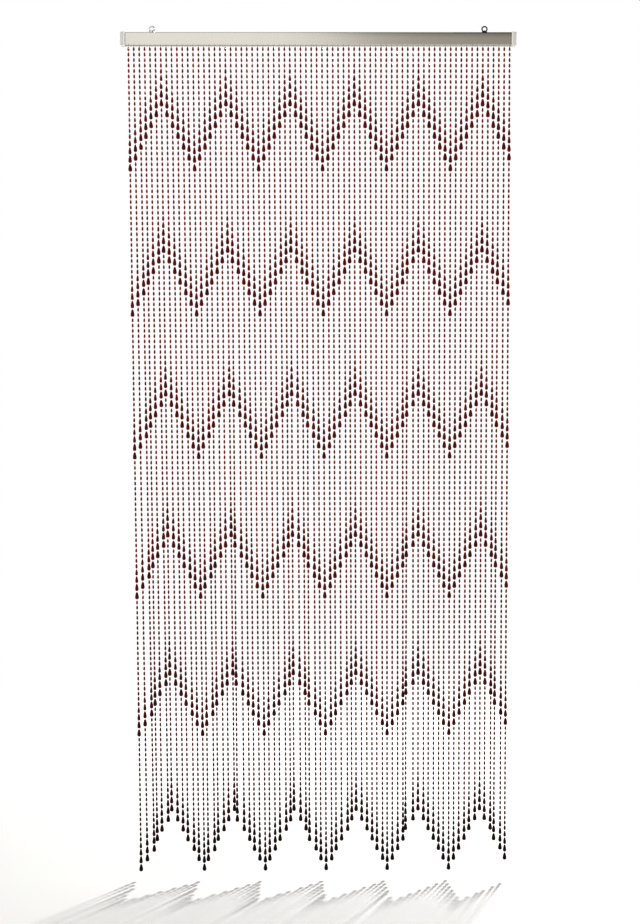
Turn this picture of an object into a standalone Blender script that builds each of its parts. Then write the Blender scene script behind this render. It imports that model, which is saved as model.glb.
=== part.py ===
"""Bead curtain on an aluminium headrail. Metres, +Z up.

The origin lies midway between the two hanging eyes, at the middle of their holes.
The width runs along X, and the curtain's face looks along -Y.
"""

import math
from collections import namedtuple

import bmesh
import bpy
from mathutils import Matrix, Vector

MM = 0.001
GAP = 0.3 * MM  # between two pieces that meet

# Headrail: a channel, open underneath between two lips
RAIL_OVERALL = 900 * MM  # end caps included
RAIL_HEIGHT = 28 * MM
RAIL_DEPTH = 20 * MM
RAIL_WALL = 1.4 * MM
RAIL_EDGE_RADIUS = 1.1 * MM
SLOT_WIDTH = 6 * MM

# End caps, pushed into the rail's ends
CAP_LENGTH = 11 * MM
CAP_PROUD = 1 * MM  # past the rail's top, front and underside
CAP_EDGE_RADIUS = 1.2 * MM
CAP_TONGUE = 8 * MM

# Hanging eyes on top of the rail
EYE_SPACING = 757 * MM
EYE_RING_RADIUS = 5.9 * MM  # to the middle of the wire
EYE_WIRE_RADIUS = 1.4 * MM
EYE_COLLAR_RADIUS = 6.2 * MM
EYE_COLLAR_HEIGHT = 3.7 * MM
EYE_CENTRE_HEIGHT = 8.8 * MM  # of the hole's middle, over the rail
EYE_TURNS = 20
EYE_SIDES = 8

# Carrier strip inside the rail, which holds every strand
STRIP_HEIGHT = 5 * MM

# Strands: small beads, and six zigzag rows of beads that grow downwards
STRANDS = 72
STRAND_PITCH = 12.24 * MM
STRANDS_SHIFT = 1.8 * MM  # of them all, from the rail's middle to the right
FIRST_GAP = 1.4 * MM  # from the rail down to the first bead's own length of cord
ROWS = 6
STRANDS_PER_SLOPE = 6  # from a peak of the zigzag to its next valley
SMALL_PITCH = 12.2 * MM
SMALLS_ABOVE_PEAK = 3
SMALLS_PER_STEP = 2  # more on each strand from a peak down to a valley
SMALLS_BETWEEN = 19
GRADED_PITCHES_MM = (12.2, 13.6, 16.3, 18.0, 19.2, 20.2)  # the growing beads of one row
STRAND_WIDTH = 3.2 * MM
DROP_WIDTH = 8.2 * MM  # of a row's last bead
DROP_TIP_WIDTH = 2.6 * MM
WIDEST_ABOVE_GROUP_END = 6.5 * MM
DROP_END_ABOVE_GROUP_END = 2.1 * MM

# The strands hang a little to the right of straight down, and spread a little
COMMON_LEAN = 7.2 * MM  # of a strand's foot
LEAN_SPREAD = 0.9 * MM  # more than that at the last strand, and less at the first

# How far a strand's foot hangs from where that puts it
Lean = namedtuple("Lean", "strand across_mm forward_mm")
LEANS = (
    Lean(0, -3.3, 0.4),
    Lean(2, 4.4, 2.5),
    Lean(3, -0.8, -2.5),
    Lean(4, -1.1, 0.8),
    Lean(5, 2.0, 2.2),
    Lean(6, -2.1, -2.2),
    Lean(10, 1.9, -0.5),
    Lean(11, 1.1, 0.6),
    Lean(12, 1.5, -0.8),
    Lean(13, -1.0, 0.7),
    Lean(14, 2.2, 1.8),
    Lean(15, -1.6, -1.8),
    Lean(18, 1.1, -2.5),
    Lean(19, -4.3, 2.5),
    Lean(24, 1.1, -0.3),
    Lean(28, 2.5, -0.5),
    Lean(29, 0.8, 2.5),
    Lean(30, -3.4, -2.5),
    Lean(32, 0.9, -2.4),
    Lean(33, -3.1, 2.4),
    Lean(37, 1.1, 0.6),
    Lean(40, 2.8, 1.5),
    Lean(41, 0.4, -1.5),
    Lean(42, -1.6, 0.5),
    Lean(47, 1.0, -0.4),
    Lean(51, 0.5, 2.7),
    Lean(52, -5.5, -2.7),
    Lean(65, 1.1, 0.5),
    Lean(68, 2.1, -2.0),
    Lean(69, -2.2, 2.0),
    Lean(70, 1.5, -0.6),
)
SMALL_SWAY = 0.5 * MM  # of a strand that the table leaves out
SWAY_STEP = 2.4  # radians from one strand to the next

RAIL_TOP = -EYE_CENTRE_HEIGHT
RAIL_BOTTOM = RAIL_TOP - RAIL_HEIGHT
RAIL_LENGTH = RAIL_OVERALL - 2 * (CAP_LENGTH + GAP)
STRIP_BOTTOM = RAIL_BOTTOM + RAIL_WALL + GAP
STRIP_LENGTH = RAIL_LENGTH - 2 * GAP
INNER_DEPTH = RAIL_DEPTH - 2 * (RAIL_WALL + GAP)
GROUP_LENGTH = MM * sum(GRADED_PITCHES_MM)
ROW_PITCH = SMALLS_BETWEEN * SMALL_PITCH + GROUP_LENGTH


def clear_scene():
    for old in list(bpy.data.objects):
        bpy.data.objects.remove(old, do_unlink=True)


def material(name, colour, roughness, metallic=0.0):
    made = bpy.data.materials.new(name)
    made.use_nodes = True
    shader = made.node_tree.nodes["Principled BSDF"]
    shader.inputs["Base Color"].default_value = (*colour, 1.0)
    shader.inputs["Roughness"].default_value = roughness
    shader.inputs["Metallic"].default_value = metallic
    made.diffuse_color = (*colour, 1.0)
    return made


def add_object(bm, name, finish, smooth_angle=math.radians(35)):
    bmesh.ops.recalc_face_normals(bm, faces=bm.faces)
    mesh = bpy.data.meshes.new(name)
    bm.to_mesh(mesh)
    bm.free()
    mesh.shade_smooth()
    mesh.set_sharp_from_angle(angle=smooth_angle)
    mesh.materials.append(finish)
    made = bpy.data.objects.new(name, mesh)
    bpy.context.scene.collection.objects.link(made)
    return made


def bevel(bm, edges, width, segments):
    bmesh.ops.bevel(
        bm, geom=edges, offset=width, segments=segments, profile=0.5,
        affect="EDGES", material=-1,
    )


def rail_outline():
    """The channel's section as (across, up) from the middle of its underside."""
    half, slot, wall = RAIL_DEPTH / 2, SLOT_WIDTH / 2, RAIL_WALL
    outside = [
        (-slot, 0),
        (-half, 0),
        (-half, RAIL_HEIGHT),
        (half, RAIL_HEIGHT),
        (half, 0),
        (slot, 0),
    ]
    inside = [
        (slot, wall),
        (half - wall, wall),
        (half - wall, RAIL_HEIGHT - wall),
        (wall - half, RAIL_HEIGHT - wall),
        (wall - half, wall),
        (-slot, wall),
    ]
    return outside + inside


def runs_along_outer_corner(edge):
    first, last = (v.co for v in edge.verts)
    along = abs(first.x - last.x) > RAIL_LENGTH / 2
    at_side = abs(abs(first.y) - RAIL_DEPTH / 2) < GAP
    return along and at_side


def add_rail(finish):
    bm = bmesh.new()
    start = -RAIL_LENGTH / 2
    corners = [bm.verts.new((start, y, RAIL_BOTTOM + z)) for y, z in rail_outline()]
    section = bm.faces.new(corners)
    pulled = bmesh.ops.extrude_face_region(bm, geom=[section])["geom"]
    moved = [v for v in pulled if isinstance(v, bmesh.types.BMVert)]
    bmesh.ops.translate(bm, verts=moved, vec=(RAIL_LENGTH, 0, 0))
    outer = [edge for edge in bm.edges if runs_along_outer_corner(edge)]
    bevel(bm, outer, RAIL_EDGE_RADIUS, 3)
    return add_object(bm, "rail", finish)


def cap_block(bm):
    """A box that stands proud of the rail but is flush with its back."""
    outer, back = RAIL_OVERALL / 2, RAIL_DEPTH / 2
    low = Vector((outer - CAP_LENGTH, -back - CAP_PROUD, RAIL_BOTTOM - CAP_PROUD))
    high = Vector((outer, back, RAIL_TOP + CAP_PROUD))
    place = Matrix.Translation((low + high) / 2) @ Matrix.Diagonal((*(high - low), 1))
    bmesh.ops.create_cube(bm, size=1, matrix=place)


def cap_edges_to_round(bm):
    """Every edge but those round the face that meets the rail and the face on the wall."""
    inner = RAIL_OVERALL / 2 - CAP_LENGTH
    back = RAIL_DEPTH / 2

    def on_plane(edge, axis, value):
        return all(abs(v.co[axis] - value) < GAP for v in edge.verts)

    return [e for e in bm.edges if not on_plane(e, 0, inner) and not on_plane(e, 1, back)]


def pull_tongue(bm):
    """The tongue goes into the rail over the carrier strip."""
    face = min(bm.faces, key=lambda f: f.calc_center_median().x)
    face = bmesh.ops.extrude_discrete_faces(bm, faces=[face])["faces"][0]
    low = STRIP_BOTTOM + STRIP_HEIGHT + GAP
    high = RAIL_TOP - RAIL_WALL - GAP
    old = face.calc_center_bounds()
    new = Vector((old.x, 0, (low + high) / 2))
    shrink = (1, INNER_DEPTH / (RAIL_DEPTH + CAP_PROUD), (high - low) / (RAIL_HEIGHT + 2 * CAP_PROUD))
    bmesh.ops.scale(bm, verts=face.verts, vec=shrink, space=Matrix.Translation(-old))
    bmesh.ops.translate(bm, verts=face.verts, vec=new - old)
    end = bmesh.ops.extrude_discrete_faces(bm, faces=[face])["faces"][0]
    bmesh.ops.translate(bm, verts=end.verts, vec=(-CAP_TONGUE, 0, 0))


def add_end_cap(name, side, finish):
    bm = bmesh.new()
    cap_block(bm)
    bevel(bm, cap_edges_to_round(bm), CAP_EDGE_RADIUS, 3)
    pull_tongue(bm)
    bmesh.ops.scale(bm, verts=bm.verts, vec=(side, 1, 1))
    return add_object(bm, name, finish)


def add_eye_ring(name, place_x, finish):
    """A wire ring standing across the rail's width, so that its hole runs along Y."""
    bm = bmesh.new()
    flat_inside = Matrix.Rotation(math.pi / EYE_SIDES, 4, "Z")
    place = Matrix.Translation((EYE_RING_RADIUS, 0, 0)) @ flat_inside
    bmesh.ops.create_circle(bm, segments=EYE_SIDES, radius=EYE_WIRE_RADIUS, matrix=place)
    bmesh.ops.spin(
        bm, geom=bm.verts[:] + bm.edges[:], cent=(0, 0, 0), axis=(0, 1, 0),
        angle=2 * math.pi, steps=EYE_TURNS, use_merge=True,
    )
    bmesh.ops.translate(bm, verts=bm.verts, vec=(place_x, 0, 0))
    return add_object(bm, name, finish)


def add_eye(name, side, finish):
    place_x = side * EYE_SPACING / 2
    ring = add_eye_ring(name, place_x, finish)
    bm = bmesh.new()
    foot = RAIL_TOP + GAP
    middle = Matrix.Translation((place_x, 0, foot + EYE_COLLAR_HEIGHT / 2))
    bmesh.ops.create_cone(
        bm, cap_ends=True, segments=EYE_TURNS, radius1=EYE_COLLAR_RADIUS, radius2=EYE_COLLAR_RADIUS,
        depth=EYE_COLLAR_HEIGHT, matrix=middle,
    )
    rim = [e for e in bm.edges if all(v.co.z > middle.translation.z for v in e.verts)]
    bevel(bm, rim, EYE_COLLAR_HEIGHT / 3, 2)
    collar = add_object(bm, name + "_collar", finish)
    collar.hide_render = True
    collar.display_type = "WIRE"
    join = ring.modifiers.new("collar", "BOOLEAN")
    join.operation = "UNION"
    join.object = collar
    return ring


def steps_below_peak(strand):
    """0 on a peak of the zigzag, and STRANDS_PER_SLOPE in a valley."""
    return abs(strand % (2 * STRANDS_PER_SLOPE) - STRANDS_PER_SLOPE)


def root_of(strand):
    across = (strand - (STRANDS - 1) / 2) * STRAND_PITCH + STRANDS_SHIFT
    return Vector((across, 0, STRIP_BOTTOM))


def length_of(strand):
    smalls = SMALLS_ABOVE_PEAK + SMALLS_PER_STEP * steps_below_peak(strand)
    rows = GROUP_LENGTH + (ROWS - 1) * ROW_PITCH
    return FIRST_GAP + smalls * SMALL_PITCH + rows - DROP_END_ABOVE_GROUP_END


def lean_of(strand):
    """The sideways shift of a strand's foot, with forward along -Y."""
    from_middle = 2 * strand / (STRANDS - 1) - 1
    common = Vector((COMMON_LEAN + LEAN_SPREAD * from_middle, 0, 0))
    for lean in LEANS:
        if lean.strand == strand:
            return common + Vector((lean.across_mm, -lean.forward_mm, 0)) * MM
    sway = SWAY_STEP * strand
    return common + Vector((math.cos(sway), -math.sin(sway), 0)) * SMALL_SWAY


def strand_sections(strand):
    """(drop below the rail, width across corners), from the top down."""
    smalls = SMALLS_ABOVE_PEAK + SMALLS_PER_STEP * steps_below_peak(strand)
    for row in range(ROWS):
        top = FIRST_GAP + smalls * SMALL_PITCH + row * ROW_PITCH
        end = top + GROUP_LENGTH
        yield top, STRAND_WIDTH
        yield end - WIDEST_ABOVE_GROUP_END, DROP_WIDTH
        yield end - DROP_END_ABOVE_GROUP_END, DROP_TIP_WIDTH


def place_ring(face, centre, width):
    """Moves a cell's four corners onto a square that stands on its corner."""
    middle = face.calc_center_median()
    for v in face.verts:
        corner = Vector((math.copysign(1, v.co.x - middle.x), math.copysign(1, v.co.y - middle.y), 0))
        corner.rotate(Matrix.Rotation(math.pi / 4, 3, "Z"))
        v.co = centre + corner.normalized() * width / 2


def resize_ring(face, centre, width):
    """Scales a ring to this width across corners and moves it to centre."""
    middle = face.calc_center_median()
    for v in face.verts:
        v.co = centre + (v.co - middle).normalized() * width / 2


def hang_strand(bm, cell, strand):
    root, lean, length = root_of(strand), lean_of(strand), length_of(strand)
    face = bmesh.ops.extrude_discrete_faces(bm, faces=[cell])["faces"][0]
    place_ring(face, root, STRAND_WIDTH)
    for drop, width in strand_sections(strand):
        face = bmesh.ops.extrude_discrete_faces(bm, faces=[face])["faces"][0]
        centre = Vector((root.x, root.y, RAIL_BOTTOM - drop)) + lean * drop / length
        resize_ring(face, centre, width)


def strip_with_cells(bm):
    """The carrier strip as a box cut into one cell for each strand."""
    size = (STRIP_LENGTH, INNER_DEPTH, STRIP_HEIGHT, 1)
    middle = Matrix.Translation((0, 0, STRIP_BOTTOM + STRIP_HEIGHT / 2))
    bmesh.ops.create_cube(bm, size=1, matrix=middle @ Matrix.Diagonal(size))
    for strand in range(1, STRANDS):
        cut = root_of(strand) - Vector((STRAND_PITCH / 2, 0, 0))
        everything = bm.verts[:] + bm.edges[:] + bm.faces[:]
        bmesh.ops.bisect_plane(bm, geom=everything, plane_co=cut, plane_no=(1, 0, 0))


def add_strands(finish):
    bm = bmesh.new()
    strip_with_cells(bm)
    underside = [f for f in bm.faces if f.calc_center_median().z < STRIP_BOTTOM + GAP]
    underside.sort(key=lambda f: f.calc_center_median().x)
    for strand, cell in enumerate(underside):
        hang_strand(bm, cell, strand)
    return add_object(bm, "strands", finish)


def main():
    clear_scene()
    add_rail(material("rail_metal", (0.66, 0.64, 0.60), 0.35, 1.0))
    cap_plastic = material("cap_plastic", (0.80, 0.80, 0.77), 0.35)
    add_end_cap("end_cap_left", -1, cap_plastic)
    add_end_cap("end_cap_right", 1, cap_plastic)
    eye_metal = material("eye_metal", (0.72, 0.72, 0.73), 0.18, 1.0)
    add_eye("eye_left", -1, eye_metal)
    add_eye("eye_right", 1, eye_metal)
    add_strands(material("bead_plastic", (0.13, 0.020, 0.030), 0.18))


main()
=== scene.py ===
"""Bead curtain on an aluminium headrail: the fine forms and finishes, and a plain white stage.

Everything is in metres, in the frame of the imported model. The width runs along X, the curtain's face
looks along -Y, and the origin lies midway between the hanging eyes, at the middle of their holes.
"""

import math
import random
from collections import namedtuple

import bmesh
import bpy
from bpy.props import FloatProperty, FloatVectorProperty, IntProperty, PointerProperty
from mathutils import Euler, Matrix, Vector


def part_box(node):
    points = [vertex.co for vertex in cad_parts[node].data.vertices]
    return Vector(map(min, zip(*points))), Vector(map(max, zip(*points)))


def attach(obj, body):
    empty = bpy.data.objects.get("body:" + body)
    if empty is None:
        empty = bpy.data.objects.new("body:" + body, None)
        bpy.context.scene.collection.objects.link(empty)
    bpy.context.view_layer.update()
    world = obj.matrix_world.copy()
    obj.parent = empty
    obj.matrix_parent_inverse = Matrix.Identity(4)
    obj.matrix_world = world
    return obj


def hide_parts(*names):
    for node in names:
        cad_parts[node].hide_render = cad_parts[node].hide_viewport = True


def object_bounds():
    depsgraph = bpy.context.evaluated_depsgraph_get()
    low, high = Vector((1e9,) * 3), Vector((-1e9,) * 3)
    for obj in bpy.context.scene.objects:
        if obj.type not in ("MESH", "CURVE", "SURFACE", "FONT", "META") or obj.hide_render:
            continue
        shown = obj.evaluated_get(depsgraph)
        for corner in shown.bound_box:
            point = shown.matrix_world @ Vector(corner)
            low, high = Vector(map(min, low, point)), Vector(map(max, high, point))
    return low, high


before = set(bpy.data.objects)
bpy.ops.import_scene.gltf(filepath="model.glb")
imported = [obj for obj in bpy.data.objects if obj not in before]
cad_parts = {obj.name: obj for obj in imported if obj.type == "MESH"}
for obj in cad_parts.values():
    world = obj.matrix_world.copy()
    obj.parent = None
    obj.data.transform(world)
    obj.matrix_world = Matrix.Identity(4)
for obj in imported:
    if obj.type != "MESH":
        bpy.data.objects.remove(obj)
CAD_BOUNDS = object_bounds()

bl_info = {
    "name": "Bead Curtain",
    "version": (1, 0, 0),
    "blender": (4, 5, 0),
    "location": "3D View > Sidebar > Bead Curtain",
    "description": "Builds a bead curtain with its headrail, and a plain stage for it",
    "category": "Add Mesh",
}

BODY = "root"
MM = 0.001
GAP = 0.3 * MM  # between two pieces that meet
CORD_GAP = GAP / 3  # from the carrier strip to the cords
SAME_PLACE = 0.1 * MM  # places nearer than this count as one
UPRIGHT = math.pi / 2
X_AXIS, Y_AXIS = 0, 1
SIDES = {"left": -1, "right": 1}
WHITE = (1, 1, 1)
BLACK = (0, 0, 0)
MATT = {"Roughness": 1.0, "Specular IOR Level": 0.0}

RAIL_LOW, RAIL_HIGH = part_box("rail")
RAIL_MIDDLE = (RAIL_LOW + RAIL_HIGH) / 2
RAIL_SIZE = RAIL_HIGH - RAIL_LOW
CAP_LOW, CAP_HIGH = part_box("end_cap_right")
CAP_LOW.x = RAIL_HIGH.x + GAP  # without the tongue
CAP_SIZE = CAP_HIGH - CAP_LOW
EYE_LOW, EYE_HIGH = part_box("eye_right")
EYE_X = (EYE_LOW.x + EYE_HIGH.x) / 2

# Straight steps that round edges and forms are made of
RAIL_EDGE_STEPS = 6
RAIL_LOW_EDGE_STEPS = 4
LIP_STEPS = 3
CAP_EDGE_STEPS = 6
WIRE_SIDES = 16
RING_STEPS = 48
COLLAR_SIDES = 40
COLLAR_EDGE_STEPS = 5
STRIP_EDGE_STEPS = 3
CORD_SIDES = 6

CREASE = math.radians(35)  # sharper edges of a piece stay crisp
GROOVE_SIDE = 0.25  # share of a cap's groove that each of its sloping sides takes
CORD_END = 1 * MM  # from a cord's end to the tip of its last bead

# The finishes' patterns: about how many of their forms make a metre, along X, Y and Z if they differ
BRUSHING_SCALES = (6, 1500, 1500)
BRUSHING_DEPTH_MM = 0.0024
CLOUD_SCALE = 9
FLOW_SCALES = (160, 25, 25)
SKIN_SCALE = 2600
PATCH_SCALE = 300
SCRATCH_SCALES = (500, 500, 2500)
LINE_SCALES = (10, 900, 900)
HAZE_SCALE = 120
SWIRL_SCALE = 220

# Where a painted shade changes, from its first sign to its full depth
# Painted shade on the rail's metal where it meets each cap
END_SHADE_FADE = (3 * MM, 1 * MM)  # before the rail's end
# Painted shade on the caps' rounded outer part, beyond the collar
COLLAR_SHADE_FADE = (-0.2 * MM, 0.4 * MM)  # beyond the collar's end

# The strands hang a little to the right of straight down, and spread a little
COMMON_LEAN = 7.2 * MM  # of a strand's foot
LEAN_SPREAD = 0.9 * MM  # more than that at the last strand, and less at the first

# How far a strand's foot hangs from where that puts it: to the right, and forward, along -Y
Lean = namedtuple("Lean", "strand across_mm forward_mm")
LEANS = (
    Lean(0, -3.3, 0.4),
    Lean(2, 4.4, 2.5),
    Lean(3, -0.8, -2.5),
    Lean(4, -1.1, 0.8),
    Lean(5, 2.0, 2.2),
    Lean(6, -2.1, -2.2),
    Lean(10, 1.9, -0.5),
    Lean(11, 1.1, 0.6),
    Lean(12, 1.5, -0.8),
    Lean(13, -1.0, 0.7),
    Lean(14, 2.2, 1.8),
    Lean(15, -1.6, -1.8),
    Lean(18, 1.1, -2.5),
    Lean(19, -4.3, 2.5),
    Lean(24, 1.1, -0.3),
    Lean(28, 2.5, -0.5),
    Lean(29, 0.8, 2.5),
    Lean(30, -3.4, -2.5),
    Lean(32, 0.9, -2.4),
    Lean(33, -3.1, 2.4),
    Lean(37, 1.1, 0.6),
    Lean(40, 2.8, 1.5),
    Lean(41, 0.4, -1.5),
    Lean(42, -1.6, 0.5),
    Lean(47, 1.0, -0.4),
    Lean(51, 0.5, 2.7),
    Lean(52, -5.5, -2.7),
    Lean(65, 1.1, 0.5),
    Lean(68, 2.1, -2.0),
    Lean(69, -2.2, 2.0),
    Lean(70, 1.5, -0.6),
)
SMALL_SWAY = 0.5 * MM  # of a strand that the table leaves out
SWAY_STEP = 2.4  # radians from one strand to the next

# A bead and the length of cord that it takes, its gaps included
Bead = namedtuple("Bead", "pitch_mm length_mm width_mm")
SMALL_BEAD = Bead(12.2, 7.9, 4.0)
GROWING_BEADS = (
    Bead(12.2, 8.6, 4.3),
    Bead(13.6, 9.9, 4.8),
    Bead(16.3, 12.9, 5.7),
    Bead(18.0, 14.9, 6.6),
    Bead(19.2, 15.8, 7.7),
    Bead(20.2, 15.8, 8.7),
)
FULL_DROP_WIDTH_MM = 5  # beads wider than this have the rounder mesh

# Rings of a bead's turned shape, as shares of its length and of its greatest width
Ring = namedtuple("Ring", "down width")
SMALL_RINGS = (Ring(0, 0.5), Ring(0.2, 0.8), Ring(0.5, 0.98), Ring(0.8, 0.98), Ring(1, 0.6))
SMALL_SIDES = 8
DROP_RINGS = (
    Ring(0, 0.36),
    Ring(0.13, 0.54),
    Ring(0.36, 0.77),
    Ring(0.6, 0.94),
    Ring(0.8, 1),
    Ring(0.94, 0.84),
    Ring(1, 0.5),
)
DROP_SIDES = 12
BEAD_CREASE = math.radians(62)  # sharper edges of a bead stay crisp
TONE_SPREAD = (0.65, 1.05)  # from bead to bead
# Painted shade: beads grow deeper in tone towards the foot, for the lesser light on the lower beads
LOW_BEAD_SHADE = 1.15  # share of its tone that a bead loses at the foot; 1 or more leaves none there
LOW_BEAD_SHADE_POWER = 4  # keeps most of that for the lowest beads
TONE_OF_WIDTH = 0.45  # how much a bead's tone depends on its width
STRANDS_PER_PIECE = 12

# Soft borders of the studio's lit areas, as seen from the curtain
SOFTBOX_EDGE = (0.012, 0.052)  # slope to the right of straight ahead
SPILL_EDGE = (0.02, 0.2)  # the same, for the light that spreads
SOFTBOX_TURN = (0.05, 0.3)  # how much a direction points forwards
BACKDROP_TURN = (0.55, 0.85)  # how much it points backwards
CEILING_RISE = (0.2, 0.6)  # how much it points up
LEAST_FORWARD = 0.01  # keeps the slope finite at the sides
SENSOR_MM = 36


def length_value(name, description, default):
    return FloatProperty(
        name=name, description=description, default=default, precision=4, unit="LENGTH", subtype="DISTANCE"
    )


def share_value(name, description, default):
    return FloatProperty(
        name=name, description=description, default=default, min=0, max=1, subtype="FACTOR"
    )


def level_value(name, description, default):
    return FloatProperty(name=name, description=description, default=default, min=0)


def angle_value(name, description, degrees):
    return FloatProperty(
        name=name, description=description, default=math.radians(degrees), unit="ROTATION", subtype="ANGLE"
    )


def colour_value(name, description, default):
    return FloatVectorProperty(
        name=name, description=description, default=default, size=3, min=0, max=1, subtype="COLOR"
    )


def place_value(name, description, default):
    return FloatVectorProperty(
        name=name, description=description, default=default, size=3, unit="LENGTH", subtype="TRANSLATION"
    )


class RailSettings(bpy.types.PropertyGroup):
    """The aluminium channel."""

    wall: length_value("Wall", "Thickness of the channel's walls", 1.4 * MM)
    edge_radius: length_value("Edge radius", "Rounding of the long upper edges", 2.4 * MM)
    low_edge_radius: length_value("Low edge radius", "Rounding of the long lower edges", 0.3 * MM)
    lip_radius: length_value("Lip radius", "Rounding of the edges along the slot", 0.3 * MM)
    lip_rise: length_value("Lip rise", "How much the lips rise towards the slot", 0.1 * MM)
    slot_width: length_value("Slot width", "Opening between the two lips underneath", 5 * MM)
    crown: angle_value("Crown", "How much more the face looks up at its top than at its foot", 4)
    colour: colour_value("Colour", "Satin aluminium", (0.715, 0.695, 0.65))
    roughness: share_value("Roughness", "How dull the satin finish is", 0.13)


class CapSettings(bpy.types.PropertyGroup):
    """The two plastic end caps."""

    flange: length_value("Flange", "Length of the collar next to the rail", 4.4 * MM)
    groove: length_value("Groove", "Width and depth of the groove beyond the collar", 0.5 * MM)
    taper: share_value("Taper", "How much the outer part narrows towards its end", 0.02)
    edge_radius: length_value("Edge radius", "Rounding of the outer edges", 0.6 * MM)
    # Painted shade: the cap's rounded outer part is made darker than its collar
    outer_painted_shade: share_value("Outer shade", "Brightness of the outer part next to the collar's", 0.88)
    tongue: length_value("Tongue", "Length of the part that goes into the rail", 8 * MM)
    strip_room: length_value("Room for the strip", "Height left under the tongue", 5 * MM)
    colour: colour_value("Colour", "Milky plastic", (0.93, 0.93, 0.9))


class EyeSettings(bpy.types.PropertyGroup):
    """The two hanging eyes."""

    ring_radius: length_value("Ring radius", "From the hole's middle to the middle of the wire", 5.73 * MM)
    wire_radius: length_value("Wire radius", "Half the thickness of the wire", 1.45 * MM)
    collar_radius: length_value("Collar radius", "Half the width of the foot", 6.2 * MM)
    collar_height: length_value("Collar height", "Height of the foot over the rail", 4.1 * MM)
    collar_edge: length_value("Collar edge", "Rounding of the foot's upper edge", 1.2 * MM)
    colour: colour_value("Colour", "Plated steel", (0.78, 0.78, 0.78))


class StrandSettings(bpy.types.PropertyGroup):
    """The beads, their cords and the strip that carries them."""

    strands: IntProperty(name="Strands", description="Number of cords along the rail", default=72, min=1)
    pitch: length_value("Strand pitch", "From one cord to the next", 12.24 * MM)
    shift: length_value("Shift", "Of all the cords, from the rail's middle to the right", 1.8 * MM)
    first_gap: length_value("First gap", "From the rail to the first bead's length of cord", 1.4 * MM)
    rows: IntProperty(name="Rows", description="Zigzag rows of growing beads", default=6, min=1)
    slope: IntProperty(name="Slope", description="Strands from a peak to its next valley", default=6, min=1)
    above_peak: IntProperty(name="Above a peak", description="Small beads over the first row", default=3)
    per_step: IntProperty(name="Per step", description="More small beads on each strand down", default=2)
    between: IntProperty(name="Between rows", description="Small beads from row to row", default=19)
    cord_width: length_value("Cord width", "Thickness of the clear cord", 0.7 * MM)
    tilt: angle_value("Tilt", "How far a bead leans on its cord at most", 2.5)
    strip_height: length_value("Strip height", "Height of the strip inside the rail", 5 * MM)
    strip_edge: length_value("Strip edge", "Rounding of the strip's edges", 0.4 * MM)
    deep_colour: colour_value("Deep colour", "Wine red of the darkest beads", (0.017, 0.0018, 0.002))
    bright_colour: colour_value("Bright colour", "Wine red of the lightest beads", (0.37, 0.02, 0.018))
    clearness: share_value("Clearness", "How much light goes through the beads", 0.2)
    cord_colour: colour_value("Cord colour", "Clear cord, a little yellowed", (0.86, 0.78, 0.68))
    strip_colour: colour_value("Strip colour", "Pale plastic", (0.80, 0.78, 0.74))


class StageSettings(bpy.types.PropertyGroup):
    """The floor, the light and the camera."""

    floor_drop: length_value("Floor drop", "From the lowest bead to the floor", 21.3 * MM)
    floor_width: length_value("Floor width", "Side of the square floor", 60)
    floor_shade: share_value("Floor shade", "How much light the floor gives back", 0.7)
    floor_glow: colour_value("Floor glow", "Light that the floor gives by itself", (0.249, 0.259, 0.260))
    glow_from: length_value("Glow from", "Distance at which the floor starts to fade to white", 0.9)
    glow_to: length_value("Glow to", "Distance from which the floor is white by itself", 2.2)
    key_place: place_value("Key place", "Where the lamp stands, over the floor", (1.41, 2.13, 2.96))
    key_width: length_value("Key width", "Diameter of the lamp", 0.2)
    key_power: FloatProperty(
        name="Key power", description="Power of the lamp", default=128, unit="POWER", subtype="POWER"
    )
    backdrop_level: level_value("Backdrop", "Brightness of the backdrop as the beads see it", 1)
    softbox_level: level_value("Front light", "Brightness of the light in front on the left", 1.2)
    softbox_spill: share_value("Spill", "Share of the front light that spreads to the right", 0.25)
    room_level: level_value("Room", "Brightness of the rest of the studio", 0.6)
    ceiling_level: level_value("Ceiling", "Brightness straight above", 0.25)
    room_colour: colour_value("Room colour", "Tint of the light where the studio is dim", (1.0, 0.88, 0.74))
    flag_size: length_value("Flag size", "Side of the black card before the right eye", 140 * MM)
    flag_distance: length_value("Flag distance", "From the eye to the card", 13 * MM)
    flag_lift: length_value("Flag lift", "Height of the card's lower edge over the eye's middle", -7.5 * MM)
    camera_place: place_value("Camera place", "Where the camera stands", (-0.0240, -2.9949, -0.7304))
    camera_down: angle_value("Camera down", "How far the camera looks down", 4.932)
    camera_turn: angle_value("Camera turn", "How far the camera looks to the left", -0.504)
    camera_roll: angle_value("Camera roll", "How far the camera leans", 0.1)
    camera_lens: FloatProperty(
        name="Lens", description="Focal length on a 36 mm sensor", default=50, unit="CAMERA"
    )
    picture_gamma: FloatProperty(
        name="Picture gamma", description="Below 1, half tones come out deeper", default=0.6, min=0
    )


class CurtainSettings(bpy.types.PropertyGroup):
    """Everything that the panel shows."""

    rail: PointerProperty(type=RailSettings)
    caps: PointerProperty(type=CapSettings)
    eyes: PointerProperty(type=EyeSettings)
    strands: PointerProperty(type=StrandSettings)
    stage: PointerProperty(type=StageSettings)


class Wire:
    """The output of a shader node, which can be used in sums."""

    def __init__(self, shader, socket):
        self.shader = shader
        self.socket = socket

    def maths(self, operation, first, second):
        return self.shader.add("ShaderNodeMath", {"operation": operation}, {0: first, 1: second})

    def at_least(self, limit):
        return self.maths("MAXIMUM", self, limit)

    def size(self):
        return self.maths("ABSOLUTE", self, 0)

    def __add__(self, other):
        return self.maths("ADD", self, other)

    def __sub__(self, other):
        return self.maths("SUBTRACT", self, other)

    def __rsub__(self, other):
        return self.maths("SUBTRACT", other, self)

    def __mul__(self, other):
        return self.maths("MULTIPLY", self, other)

    def __truediv__(self, other):
        return self.maths("DIVIDE", self, other)

    def __rtruediv__(self, other):
        return self.maths("DIVIDE", other, self)

    __radd__ = __add__
    __rmul__ = __mul__


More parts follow.
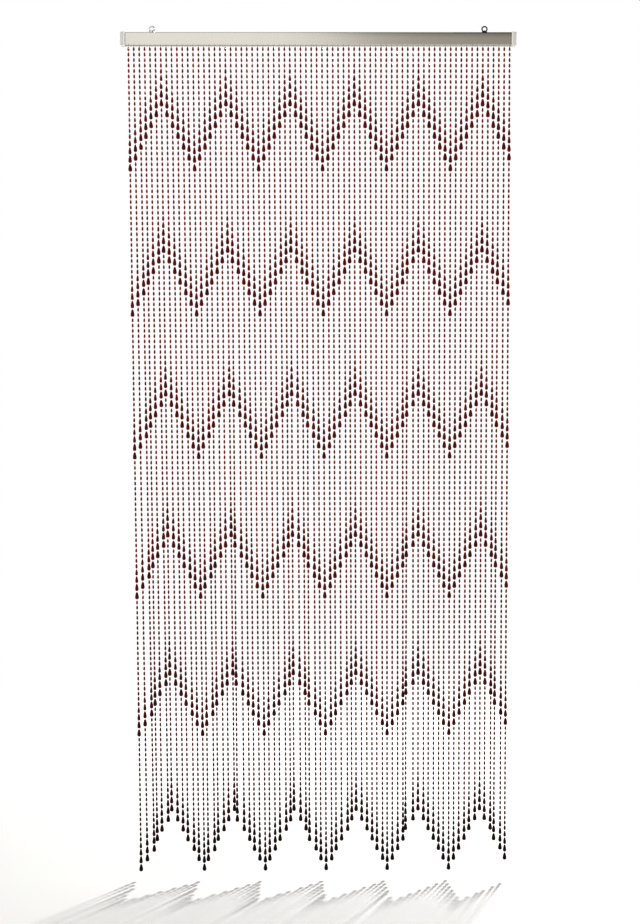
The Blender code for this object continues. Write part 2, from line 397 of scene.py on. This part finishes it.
class Shader:
    """The nodes of one material or world."""

    # Sockets of a Mix node that mixes colours
    MIX_FACTOR, MIX_FIRST, MIX_SECOND, MIX_RESULT = 0, 6, 7, 2

    def __init__(self, tree):
        self.tree = tree

    def add(self, kind, settings, sockets, output=0):
        node = self.tree.nodes.new(kind)
        for name, value in settings.items():
            setattr(node, name, value)
        for name, value in sockets.items():
            self.feed(node.inputs[name], value)
        return Wire(self, node.outputs[output])

    def feed(self, socket, value):
        if isinstance(value, Wire):
            self.tree.links.new(value.socket, socket)
        else:
            socket.default_value = value

    def object_place(self):
        return self.add("ShaderNodeTexCoord", {}, {}, "Object")

    def noise(self, place, scale, detail=3.0, roughness=0.55):
        sockets = {"Vector": place, "Scale": scale, "Detail": detail, "Roughness": roughness}
        return self.add("ShaderNodeTexNoise", {}, sockets)

    def stretched_noise(self, place, scales, detail=3.0):
        mapped = self.add("ShaderNodeMapping", {}, {"Vector": place, "Scale": scales})
        return self.noise(mapped, 1, detail)

    def parts(self, vector):
        split = self.add("ShaderNodeSeparateXYZ", {}, {"Vector": vector})
        return [Wire(self, socket) for socket in split.socket.node.outputs]

    def ramp(self, value, start, end, low=0.0, high=1.0):
        """Goes smoothly from low to high as value goes from start to end."""
        sockets = {"Value": value, "From Min": start, "From Max": end, "To Min": low, "To Max": high}
        return self.add("ShaderNodeMapRange", {"interpolation_type": "SMOOTHSTEP"}, sockets)

    def blend(self, factor, first, second):
        sockets = {self.MIX_FACTOR: factor, self.MIX_FIRST: first, self.MIX_SECOND: second}
        return self.add("ShaderNodeMix", {"data_type": "RGBA"}, sockets, self.MIX_RESULT)

    def bump(self, height, strength, depth):
        sockets = {"Height": height, "Strength": strength, "Distance": depth}
        return self.add("ShaderNodeBump", {}, sockets)


def rgba(colour, brightness=1.0):
    return (*(brightness * channel for channel in colour), 1.0)


def shades(colour, *levels):
    """The colour at each of these levels of brightness."""
    return [rgba(colour, level) for level in levels]


def new_material(name):
    made = bpy.data.materials.new(name)
    made.use_nodes = True
    return made, Shader(made.node_tree)


def set_finish(shader, sockets):
    surface = shader.tree.nodes["Principled BSDF"]
    for name, value in sockets.items():
        shader.feed(surface.inputs[name], value)


def satin_aluminium(settings):
    """Fine brushing along a face that is slightly crowned, and painted shade over the rail's last few
    millimetres next to each cap.
    """
    made, shader = new_material("satin_aluminium")
    place = shader.object_place()
    x, _, z = shader.parts(place)
    brushing = shader.stretched_noise(place, BRUSHING_SCALES, detail=4)
    clouds = shader.noise(place, CLOUD_SCALE)
    # painted shade: the metal grows darker over its last few millimetres next to each cap
    end = shader.ramp(x.size(), *(RAIL_HIGH.x - before for before in END_SHADE_FADE))
    off_middle = z - RAIL_MIDDLE.z
    crown_mm = off_middle * off_middle * (settings.crown / (2 * MM * RAIL_SIZE.z))
    plain, deeper, cloudy = shades(settings.colour, 1, 0.86, 0.8)
    set_finish(shader, {
        "Base Color": shader.blend(0.1 * clouds, shader.blend(end, plain, deeper), cloudy),
        "Metallic": 1.0,
        "Roughness": settings.roughness + 0.08 * (brushing - 0.5) + 0.05 * (clouds - 0.5),
        "Normal": shader.bump(BRUSHING_DEPTH_MM * brushing - crown_mm, 1.0, MM),
    })
    return made


def milky_plastic(settings):
    """Moulded plastic with a faint flow in it and a fine skin, and painted shade on the rounded outer part
    beyond the collar.
    """
    made, shader = new_material("milky_plastic")
    place = shader.object_place()
    x, _, _ = shader.parts(place)
    flow = shader.stretched_noise(place, FLOW_SCALES, detail=4)
    skin = shader.noise(place, SKIN_SCALE)
    collar_end = CAP_LOW.x + settings.flange
    # painted shade on the outer part beyond the collar
    outer = shader.ramp(x.size(), *(collar_end + beyond for beyond in COLLAR_SHADE_FADE))
    plain, duller, flowed = shades(settings.colour, 1, settings.outer_painted_shade, 0.9)
    set_finish(shader, {
        "Base Color": shader.blend(0.3 * flow, shader.blend(outer, plain, duller), flowed),
        "Roughness": 0.34 + 0.1 * flow,
        "Subsurface Weight": 0.1,
        "Subsurface Radius": (1.0, 0.9, 0.8),
        "Subsurface Scale": 1.0 * MM,
        "Normal": shader.bump(skin, 0.05, 0.01 * MM),
    })
    return made


def bright_plating(settings):
    """Plated wire, a little duller in patches."""
    made, shader = new_material("bright_plating")
    place = shader.object_place()
    patches = shader.noise(place, PATCH_SCALE, detail=5)
    scratches = shader.stretched_noise(place, SCRATCH_SCALES)
    set_finish(shader, {
        "Base Color": shader.blend(patches, *shades(settings.colour, 0.85, 1.08)),
        "Metallic": 1.0,
        "Roughness": 0.28 + 0.12 * patches,
        "Normal": shader.bump(scratches, 0.08, 0.03 * MM),
    })
    return made


def pale_plastic(settings):
    """The extruded carrier strip, with faint lines along it."""
    made, shader = new_material("pale_plastic")
    lines = shader.stretched_noise(shader.object_place(), LINE_SCALES)
    set_finish(shader, {
        "Base Color": shader.blend(lines, *shades(settings.strip_colour, 0.9, 1.1)),
        "Roughness": 0.4 + 0.15 * lines,
        "Normal": shader.bump(lines, 0.2, 0.05 * MM),
    })
    return made


def clear_cord(settings):
    """Clear nylon, a little cloudier in places."""
    made, shader = new_material("clear_cord")
    haze = shader.noise(shader.object_place(), HAZE_SCALE)
    set_finish(shader, {
        "Base Color": shader.blend(haze, *shades(settings.cord_colour, 0.92, 1.08)),
        "Roughness": 0.12 + 0.2 * haze,
        "Transmission Weight": 0.7,
        "IOR": 1.5,
    })
    return made


def wine_plastic(settings):
    """Glossy tinted beads: each has its own tone, deeper towards the foot as painted shade, with a faint
    swirl in it.
    """
    made, shader = new_material("wine_plastic")
    tone = shader.add("ShaderNodeAttribute", {"attribute_name": "tone"}, {}, "Fac")
    swirl = shader.noise(shader.object_place(), SWIRL_SCALE, detail=2)
    shade = tone * (0.8 + 0.4 * swirl)
    set_finish(shader, {
        "Base Color": shader.blend(shade, rgba(settings.deep_colour), rgba(settings.bright_colour)),
        "Roughness": 0.08 + 0.1 * swirl,
        "Transmission Weight": settings.clearness,
        "IOR": 1.49,
        "Specular IOR Level": 0.3,
    })
    return made


def finished_mesh(bm, name):
    mesh = bpy.data.meshes.new(name)
    bm.to_mesh(mesh)
    bm.free()
    return mesh


def linked_object(name, data):
    made = bpy.data.objects.new(name, data)
    bpy.context.scene.collection.objects.link(made)
    return made


def as_piece(bm, name, finish, replaced, crease=CREASE):
    """Makes a finished mesh a piece of the curtain that stands for the given nodes."""
    mesh = finished_mesh(bm, name)
    mesh.shade_smooth()
    mesh.set_sharp_from_angle(angle=crease)
    mesh.materials.append(finish)
    piece = linked_object(name, mesh)
    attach(piece, BODY)
    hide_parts(*replaced)


def bevel(bm, edges, width, segments):
    bmesh.ops.bevel(
        bm, geom=edges, offset=width, segments=segments, profile=0.5, affect="EDGES", material=-1
    )


def box_between(bm, low, high):
    place = Matrix.Translation((low + high) / 2) @ Matrix.Diagonal((*(high - low), 1))
    bmesh.ops.create_cube(bm, size=1, matrix=place)


def cylinder(bm, radius, length, sides, place):
    """A closed cylinder along Z, turned and moved by place. Returns its vertices."""
    made = bmesh.ops.create_cone(
        bm, cap_ends=True, segments=sides, radius1=radius, radius2=radius, depth=length, matrix=place
    )
    return made["verts"]


def scale_from(bm, verts, vec, centre):
    bmesh.ops.scale(bm, verts=verts, vec=vec, space=Matrix.Translation(-centre))


def pulled_face(bm, face):
    """A copy of the face, joined to where it was by new sides. The face itself is gone."""
    return bmesh.ops.extrude_discrete_faces(bm, faces=[face])["faces"][0]


def channel_outline(settings):
    """The channel's section as (across, up) from the middle of its underside."""
    half, height = RAIL_SIZE.y / 2, RAIL_SIZE.z
    slot, wall, rise = settings.slot_width / 2, settings.wall, settings.lip_rise
    outside = [(-slot, rise), (-half, 0), (-half, height), (half, height), (half, 0), (slot, rise)]
    inside = [
        (slot, wall),
        (half - wall, wall),
        (half - wall, height - wall),
        (wall - half, height - wall),
        (wall - half, wall),
        (-slot, wall),
    ]
    return outside + inside


def long_edges(bm, offset_from_middle):
    """Edges that run the whole way along the rail at this distance to its middle plane."""
    def runs_here(edge):
        first, last = (v.co for v in edge.verts)
        at_offset = abs(abs(first.y - RAIL_MIDDLE.y) - offset_from_middle) < SAME_PLACE
        return at_offset and abs(first.x - last.x) > RAIL_SIZE.x / 2
    return [edge for edge in bm.edges if runs_here(edge)]


def is_high(edge):
    return edge.verts[0].co.z > RAIL_MIDDLE.z


class CURTAIN_OT_add_headrail(bpy.types.Operator):
    """Adds the aluminium channel that is open underneath between two lips."""

    bl_idname = "curtain.add_headrail"
    bl_label = "Add Headrail"
    bl_options = {"REGISTER", "UNDO"}

    def execute(self, context):
        settings = context.scene.bead_curtain.rail
        bm = bmesh.new()
        base = Vector((RAIL_LOW.x, RAIL_MIDDLE.y, RAIL_LOW.z))
        corners = [bm.verts.new(base + Vector((0, y, z))) for y, z in channel_outline(settings)]
        section = bm.faces.new(corners)
        pulled = bmesh.ops.extrude_face_region(bm, geom=[section])["geom"]
        moved = [v for v in pulled if isinstance(v, bmesh.types.BMVert)]
        bmesh.ops.translate(bm, verts=moved, vec=(RAIL_SIZE.x, 0, 0))
        outer = long_edges(bm, RAIL_SIZE.y / 2)
        bevel(bm, [edge for edge in outer if is_high(edge)], settings.edge_radius, RAIL_EDGE_STEPS)
        lower = [edge for edge in long_edges(bm, RAIL_SIZE.y / 2) if not is_high(edge)]
        bevel(bm, lower, settings.low_edge_radius, RAIL_LOW_EDGE_STEPS)
        bevel(bm, long_edges(bm, settings.slot_width / 2), settings.lip_radius, LIP_STEPS)
        bmesh.ops.recalc_face_normals(bm, faces=bm.faces)
        as_piece(bm, "headrail_channel", satin_aluminium(settings), ["rail"])
        return {"FINISHED"}


def lies_at(edge, axis, value):
    return all(abs(v.co[axis] - value) < SAME_PLACE for v in edge.verts)


def cap_block(bm, settings):
    """A block whose edges are round, but for those round its inner face and its back."""
    box_between(bm, CAP_LOW, CAP_HIGH)
    rounded = [
        edge for edge in bm.edges
        if not lies_at(edge, X_AXIS, CAP_LOW.x) and not lies_at(edge, Y_AXIS, CAP_HIGH.y)
    ]
    bevel(bm, rounded, settings.edge_radius, CAP_EDGE_STEPS)


def cap_tongue(bm, rail, settings):
    """Pulls the inner face out into a tongue that fits in the rail, over the carrier strip."""
    inset = rail.wall + GAP
    low = Vector((0, RAIL_LOW.y + inset, RAIL_LOW.z + inset + settings.strip_room + GAP))
    high = Vector((0, RAIL_HIGH.y - inset, RAIL_HIGH.z - inset))
    face = pulled_face(bm, min(bm.faces, key=lambda f: f.calc_center_median().x))
    old = face.calc_center_bounds()
    size = high - low
    scale_from(bm, face.verts, (1, size.y / CAP_SIZE.y, size.z / CAP_SIZE.z), old)
    middle = (low + high) / 2
    bmesh.ops.translate(bm, verts=face.verts, vec=(0, middle.y - old.y, middle.z - old.z))
    end = pulled_face(bm, face)
    bmesh.ops.translate(bm, verts=end.verts, vec=(-settings.tongue, 0, 0))


def cut_across(bm, places_x):
    for x in places_x:
        everything = bm.verts[:] + bm.edges[:] + bm.faces[:]
        bmesh.ops.bisect_plane(bm, geom=everything, plane_co=(x, 0, 0), plane_no=(1, 0, 0))


def shape_cap(bm, settings):
    """Sinks a groove beyond the collar and tapers the rest, while the back stays flat."""
    start = CAP_LOW.x + settings.flange
    end = start + settings.groove
    side = settings.groove * GROOVE_SIDE
    cut_across(bm, (start, start + side, end - side, end))
    centre = Vector((0, CAP_HIGH.y, (CAP_LOW.z + CAP_HIGH.z) / 2))
    for v in bm.verts:
        if start + side / 2 < v.co.x < end - side / 2:
            kept = 1 - settings.groove / CAP_SIZE.y
        elif v.co.x > end - side / 2:
            kept = 1 - settings.taper * (v.co.x - start) / (CAP_HIGH.x - start)
        else:
            continue
        v.co.y = centre.y + kept * (v.co.y - centre.y)
        v.co.z = centre.z + kept * (v.co.z - centre.z)


class CURTAIN_OT_add_end_caps(bpy.types.Operator):
    """Adds the two moulded caps that close the rail's ends."""

    bl_idname = "curtain.add_end_caps"
    bl_label = "Add End Caps"
    bl_options = {"REGISTER", "UNDO"}

    def execute(self, context):
        curtain = context.scene.bead_curtain
        finish = milky_plastic(curtain.caps)
        for side, sign in SIDES.items():
            bm = bmesh.new()
            cap_block(bm, curtain.caps)
            cap_tongue(bm, curtain.rail, curtain.caps)
            shape_cap(bm, curtain.caps)
            bmesh.ops.scale(bm, verts=bm.verts, vec=(sign, 1, 1))
            bmesh.ops.recalc_face_normals(bm, faces=bm.faces)
            as_piece(bm, f"cap_{side}_moulding", finish, [f"end_cap_{side}"])
        return {"FINISHED"}


def wire_ring(bm, settings):
    place = Matrix.Translation((settings.ring_radius, 0, 0))
    bmesh.ops.create_circle(bm, segments=WIRE_SIDES, radius=settings.wire_radius, matrix=place)
    bmesh.ops.spin(
        bm, geom=bm.verts[:] + bm.edges[:], cent=(0, 0, 0), axis=(0, 1, 0),
        angle=math.tau, steps=RING_STEPS, use_merge=True,
    )


def eye_collar(bm, settings):
    middle = EYE_LOW.z + settings.collar_height / 2
    place = Matrix.Translation((0, 0, middle))
    verts = set(cylinder(bm, settings.collar_radius, settings.collar_height, COLLAR_SIDES, place))
    upper = [edge for edge in bm.edges if all(v in verts and v.co.z > middle for v in edge.verts)]
    bevel(bm, upper, settings.collar_edge, COLLAR_EDGE_STEPS)


class CURTAIN_OT_add_hanging_eyes(bpy.types.Operator):
    """Adds the two eyes that the curtain hangs by, each a wire ring on a round foot."""

    bl_idname = "curtain.add_hanging_eyes"
    bl_label = "Add Hanging Eyes"
    bl_options = {"REGISTER", "UNDO"}

    def execute(self, context):
        settings = context.scene.bead_curtain.eyes
        finish = bright_plating(settings)
        for side, sign in SIDES.items():
            bm = bmesh.new()
            wire_ring(bm, settings)
            eye_collar(bm, settings)
            bmesh.ops.translate(bm, verts=bm.verts, vec=(sign * EYE_X, 0, 0))
            bmesh.ops.recalc_face_normals(bm, faces=bm.faces)
            as_piece(bm, f"eye_{side}_ring", finish, [f"eye_{side}"])
        return {"FINISHED"}


def strip_bottom(rail):
    return RAIL_LOW.z + rail.wall + GAP


class CURTAIN_OT_add_carrier_strip(bpy.types.Operator):
    """Adds the strip inside the rail that every cord hangs from."""

    bl_idname = "curtain.add_carrier_strip"
    bl_label = "Add Carrier Strip"
    bl_options = {"REGISTER", "UNDO"}

    def execute(self, context):
        curtain = context.scene.bead_curtain
        inset = curtain.rail.wall + GAP
        low = Vector((RAIL_LOW.x + GAP, RAIL_LOW.y + inset, strip_bottom(curtain.rail)))
        high = Vector((RAIL_HIGH.x - GAP, RAIL_HIGH.y - inset, low.z + curtain.strands.strip_height))
        bm = bmesh.new()
        box_between(bm, low, high)
        bevel(bm, bm.edges[:], curtain.strands.strip_edge, STRIP_EDGE_STEPS)
        bmesh.ops.recalc_face_normals(bm, faces=bm.faces)
        finish = pale_plastic(curtain.strands)
        as_piece(bm, "carrier_strip", finish, ["strands"])
        return {"FINISHED"}


def beads_down(strand, settings):
    """Every bead of a strand with the drop of its top below the rail, from the top down."""
    steps = abs(strand % (2 * settings.slope) - settings.slope)  # below the zigzag's peak
    order = [SMALL_BEAD] * (settings.above_peak + settings.per_step * steps)
    for row in range(settings.rows):
        order += [SMALL_BEAD] * (settings.between if row else 0)
        order += GROWING_BEADS
    drop = settings.first_gap
    for bead in order:
        yield bead, drop + (bead.pitch_mm - bead.length_mm) / 2 * MM
        drop += bead.pitch_mm * MM


class Strand:
    """One cord: where it hangs from, how long it is and how it leans."""

    def __init__(self, number, settings):
        self.beads = list(beads_down(number, settings))
        last, drop = self.beads[-1]
        self.length = drop + last.length_mm * MM
        across = (number - (settings.strands - 1) / 2) * settings.pitch + settings.shift
        self.top = Vector((across, 0, RAIL_LOW.z))
        self.lean = self.lean_of(number, settings.strands)

    @staticmethod
    def lean_of(number, strands):
        """The sideways shift of the strand's foot, with forward along -Y."""
        from_middle = 2 * number / (strands - 1) - 1
        common = Vector((COMMON_LEAN + LEAN_SPREAD * from_middle, 0, 0))
        for lean in LEANS:
            if lean.strand == number:
                return common + Vector((lean.across_mm, -lean.forward_mm, 0)) * MM
        sway = SWAY_STEP * number
        return common + Vector((math.cos(sway), -math.sin(sway), 0)) * SMALL_SWAY

    def at(self, drop):
        return self.top + Vector((0, 0, -drop)) + self.lean * drop / self.length


class CURTAIN_OT_add_cords(bpy.types.Operator):
    """Adds the clear cords that the beads are strung on."""

    bl_idname = "curtain.add_cords"
    bl_label = "Add Cords"
    bl_options = {"REGISTER", "UNDO"}

    def execute(self, context):
        curtain = context.scene.bead_curtain
        settings = curtain.strands
        bm = bmesh.new()
        for number in range(settings.strands):
            strand = Strand(number, settings)
            root = strand.top.copy()
            root.z = strip_bottom(curtain.rail) - CORD_GAP
            foot = strand.at(strand.length - CORD_END)
            run = foot - root
            turn = run.to_track_quat("Z", "Y").to_matrix().to_4x4()
            place = Matrix.Translation((root + foot) / 2) @ turn
            cylinder(bm, settings.cord_width / 2, run.length, CORD_SIDES, place)
        as_piece(bm, "bead_cords", clear_cord(settings), ["strands"], BEAD_CREASE)
        return {"FINISHED"}


def bead_template(name, rings, sides):
    """A drop of width 1 that reaches from the origin down to -1."""
    bm = bmesh.new()
    bmesh.ops.create_circle(bm, cap_ends=True, segments=sides, radius=rings[0].width / 2)
    pulled = bmesh.ops.extrude_face_region(bm, geom=bm.faces[:])["geom"]
    face = next(f for f in pulled if isinstance(f, bmesh.types.BMFace))
    for above, ring in zip(rings, rings[1:]):
        if above is not rings[0]:
            face = pulled_face(bm, face)
        grown = ring.width / above.width
        bmesh.ops.scale(bm, verts=face.verts, vec=(grown, grown, 1))
        bmesh.ops.translate(bm, verts=face.verts, vec=(0, 0, above.down - ring.down))
    bmesh.ops.recalc_face_normals(bm, faces=bm.faces)
    bm.verts.layers.float.new("tone")
    return finished_mesh(bm, name)


def thread_bead(bm, template, place, tone):
    before = len(bm.verts)
    bm.from_mesh(template)
    bm.verts.ensure_lookup_table()
    added = bm.verts[before:]
    bmesh.ops.transform(bm, matrix=place, verts=added)
    layer = bm.verts.layers.float["tone"]
    for v in added:
        v[layer] = tone


def bead_place(strand, bead, drop, tilt, chance):
    """Sets a bead's size, its lean on the cord and its place."""
    length = bead.length_mm * MM
    width = bead.width_mm * MM
    sized = Matrix.Translation((0, 0, length / 2)) @ Matrix.Diagonal((width, width, length, 1))
    lean = tilt * SMALL_BEAD.width_mm / bead.width_mm
    turned = Euler((chance.uniform(-lean, lean), chance.uniform(-lean, lean), chance.uniform(0, math.tau)))
    return Matrix.Translation(strand.at(drop + length / 2)) @ turned.to_matrix().to_4x4() @ sized


def bead_tone(bead, drop, chance):
    """From 0, deep, to 1, bright: thin beads let the most light through, and low ones are the deepest, a
    painted shade for the lesser light on the lower beads.
    """
    thinness = 1 - TONE_OF_WIDTH * (1 - SMALL_BEAD.width_mm / bead.width_mm)
    # painted shade on the lower beads
    height = max(0, 1 - LOW_BEAD_SHADE * (drop / -CAD_BOUNDS[0].z) ** LOW_BEAD_SHADE_POWER)
    return thinness * height * chance.uniform(*TONE_SPREAD)


def add_strand_beads(bm, number, settings, templates):
    """Threads one strand by itself, which is quicker than threading it straight into the piece."""
    chance = random.Random(number)
    strand = Strand(number, settings)
    own = bmesh.new()
    for bead, drop in strand.beads:
        template = templates["drop" if bead.width_mm > FULL_DROP_WIDTH_MM else "small"]
        place = bead_place(strand, bead, drop, settings.tilt, chance)
        thread_bead(own, template, place, bead_tone(bead, drop, chance))
    strung = finished_mesh(own, "strand")
    bm.from_mesh(strung)
    bpy.data.meshes.remove(strung)


class CURTAIN_OT_add_beads(bpy.types.Operator):
    """Adds every bead: small ones, and zigzag rows of beads that grow downwards."""

    bl_idname = "curtain.add_beads"
    bl_label = "Add Beads"
    bl_options = {"REGISTER", "UNDO"}

    def execute(self, context):
        settings = context.scene.bead_curtain.strands
        finish = wine_plastic(settings)
        templates = {
            "small": bead_template("small_bead", SMALL_RINGS, SMALL_SIDES),
            "drop": bead_template("drop_bead", DROP_RINGS, DROP_SIDES),
        }
        for first in range(0, settings.strands, STRANDS_PER_PIECE):
            bm = bmesh.new()
            for number in range(first, min(first + STRANDS_PER_PIECE, settings.strands)):
                add_strand_beads(bm, number, settings, templates)
            name = f"beads_{first // STRANDS_PER_PIECE + 1}"
            as_piece(bm, name, finish, ["strands"], BEAD_CREASE)
        for template in templates.values():
            bpy.data.meshes.remove(template)
        return {"FINISHED"}


def floor_finish(settings):
    """Pale and plain, and white by itself further away, where it meets the backdrop."""
    made, shader = new_material("studio_floor")
    x, y, _ = shader.parts(shader.object_place())
    squared = x * x + y * y
    glow = shader.ramp(squared, settings.glow_from ** 2, settings.glow_to ** 2)
    set_finish(shader, MATT | {
        "Base Color": shader.blend(glow, rgba(WHITE, settings.floor_shade), rgba(BLACK)),
        "Emission Color": shader.blend(glow, rgba(settings.floor_glow), rgba(WHITE)),
        "Emission Strength": 1.0,
    })
    return made


def black_card():
    made, shader = new_material("black_card")
    set_finish(shader, MATT | {"Base Color": rgba(BLACK)})
    return made


def square_sheet(name, side, place, finish):
    """A flat square that faces up, turned and moved by place."""
    bm = bmesh.new()
    bmesh.ops.create_grid(bm, x_segments=1, y_segments=1, size=side / 2, matrix=place)
    mesh = finished_mesh(bm, name)
    mesh.materials.append(finish)
    return linked_object(name, mesh)


def add_floor(settings):
    """Lays the floor under the curtain and returns its level."""
    level = CAD_BOUNDS[0].z - settings.floor_drop
    place = Matrix.Translation((0, 0, level))
    floor = square_sheet("studio_floor", settings.floor_width, place, floor_finish(settings))
    return level


def add_key_light(settings, floor_level):
    """A small lamp high behind the curtain on the right, which throws its shadow forwards."""
    lamp = bpy.data.lights.new("key_light", "AREA")
    lamp.shape = "DISK"
    lamp.size = settings.key_width
    lamp.energy = settings.key_power
    light = linked_object("key_light", lamp)
    foot = Vector((0, 0, floor_level))  # under the curtain's middle
    light.location = Vector(settings.key_place) + foot
    aim = foot - light.location
    light.rotation_euler = aim.to_track_quat("-Z", "Y").to_euler()


def add_flag(settings):
    """A small black card close in front of the right eye, which shows only as a reflection."""
    middle = Vector((EYE_X, -settings.flag_distance, settings.flag_size / 2 + settings.flag_lift))
    place = Matrix.Translation(middle) @ Matrix.Rotation(UPRIGHT, 4, "X")
    flag = square_sheet("black_flag", settings.flag_size, place, black_card())
    flag.visible_camera = False
    flag.visible_diffuse = False
    flag.visible_shadow = False


def add_surroundings(settings):
    """A white backdrop, a wide light in front on the left and a dim room elsewhere."""
    world = bpy.data.worlds.new("studio")
    world.use_nodes = True
    bpy.context.scene.world = world
    shader = Shader(world.node_tree)
    x, y, z = shader.parts(shader.add("ShaderNodeTexCoord", {}, {}, "Generated"))
    forwards = 0 - y
    behind = shader.ramp(y, *BACKDROP_TURN)
    in_front = shader.ramp(forwards, *SOFTBOX_TURN)
    slope = x / forwards.at_least(LEAST_FORWARD)
    direct = shader.ramp(slope, *SOFTBOX_EDGE, low=1.0, high=0.0)
    spilt = shader.ramp(slope, *SPILL_EDGE, low=1.0, high=0.0)
    spill = settings.softbox_spill
    front = in_front * (direct * (1 - spill) + spilt * spill)
    room = shader.ramp(z, *CEILING_RISE, low=settings.room_level, high=settings.ceiling_level)
    lit = behind * (settings.backdrop_level - room) + front * (settings.softbox_level - room)
    seen = shader.add("ShaderNodeLightPath", {}, {}, "Is Camera Ray")
    level = seen + (1 - seen) * (room + lit)
    colour = shader.blend(level, rgba(settings.room_colour), rgba(WHITE))
    background = world.node_tree.nodes["Background"]
    shader.feed(background.inputs["Color"], colour)
    shader.feed(background.inputs["Strength"], level)


def add_camera(settings):
    data = bpy.data.cameras.new("camera")
    data.sensor_width = SENSOR_MM
    data.lens = settings.camera_lens
    camera = linked_object("camera", data)
    camera.location = settings.camera_place
    camera.rotation_euler = (UPRIGHT - settings.camera_down, settings.camera_roll, settings.camera_turn)
    bpy.context.scene.camera = camera


class CURTAIN_OT_set_stage(bpy.types.Operator):
    """Adds the floor, the studio light and the camera."""

    bl_idname = "curtain.set_stage"
    bl_label = "Set Stage"
    bl_options = {"REGISTER", "UNDO"}

    def execute(self, context):
        settings = context.scene.bead_curtain.stage
        floor_level = add_floor(settings)
        add_key_light(settings, floor_level)
        add_flag(settings)
        add_surroundings(settings)
        add_camera(settings)
        view = context.scene.view_settings
        view.view_transform = "Standard"
        view.gamma = settings.picture_gamma
        return {"FINISHED"}


# Each operator with the settings that the panel shows over it
STEPS = (
    (CURTAIN_OT_add_headrail, "rail"),
    (CURTAIN_OT_add_end_caps, "caps"),
    (CURTAIN_OT_add_hanging_eyes, "eyes"),
    (CURTAIN_OT_add_carrier_strip, "strands"),
    (CURTAIN_OT_add_cords, "strands"),
    (CURTAIN_OT_add_beads, "strands"),
    (CURTAIN_OT_set_stage, "stage"),
)


class CURTAIN_PT_panel(bpy.types.Panel):
    """Lists the pieces of the curtain and their settings."""

    bl_idname = "CURTAIN_PT_panel"
    bl_label = "Bead Curtain"
    bl_space_type = "VIEW_3D"
    bl_region_type = "UI"
    bl_category = "Bead Curtain"

    def draw(self, context):
        curtain = context.scene.bead_curtain
        self.layout.use_property_split = True
        shown = set()
        for operator, group in STEPS:
            box = self.layout.box()
            if group not in shown:
                shown.add(group)
                settings = getattr(curtain, group)
                for name in settings.__annotations__:
                    box.prop(settings, name)
            box.operator(operator.bl_idname)


SETTINGS = (RailSettings, CapSettings, EyeSettings, StrandSettings, StageSettings, CurtainSettings)
CLASSES = SETTINGS + tuple(operator for operator, _ in STEPS) + (CURTAIN_PT_panel,)


def register():
    for cls in CLASSES:
        bpy.utils.register_class(cls)
    bpy.types.Scene.bead_curtain = PointerProperty(type=CurtainSettings)


def unregister():
    del bpy.types.Scene.bead_curtain
    for cls in reversed(CLASSES):
        bpy.utils.unregister_class(cls)


def main():
    register()
    bpy.ops.curtain.add_headrail()
    bpy.ops.curtain.add_end_caps()
    bpy.ops.curtain.add_hanging_eyes()
    bpy.ops.curtain.add_carrier_strip()
    bpy.ops.curtain.add_cords()
    bpy.ops.curtain.add_beads()
    bpy.ops.curtain.set_stage()


if __name__ == "__main__":
    main()
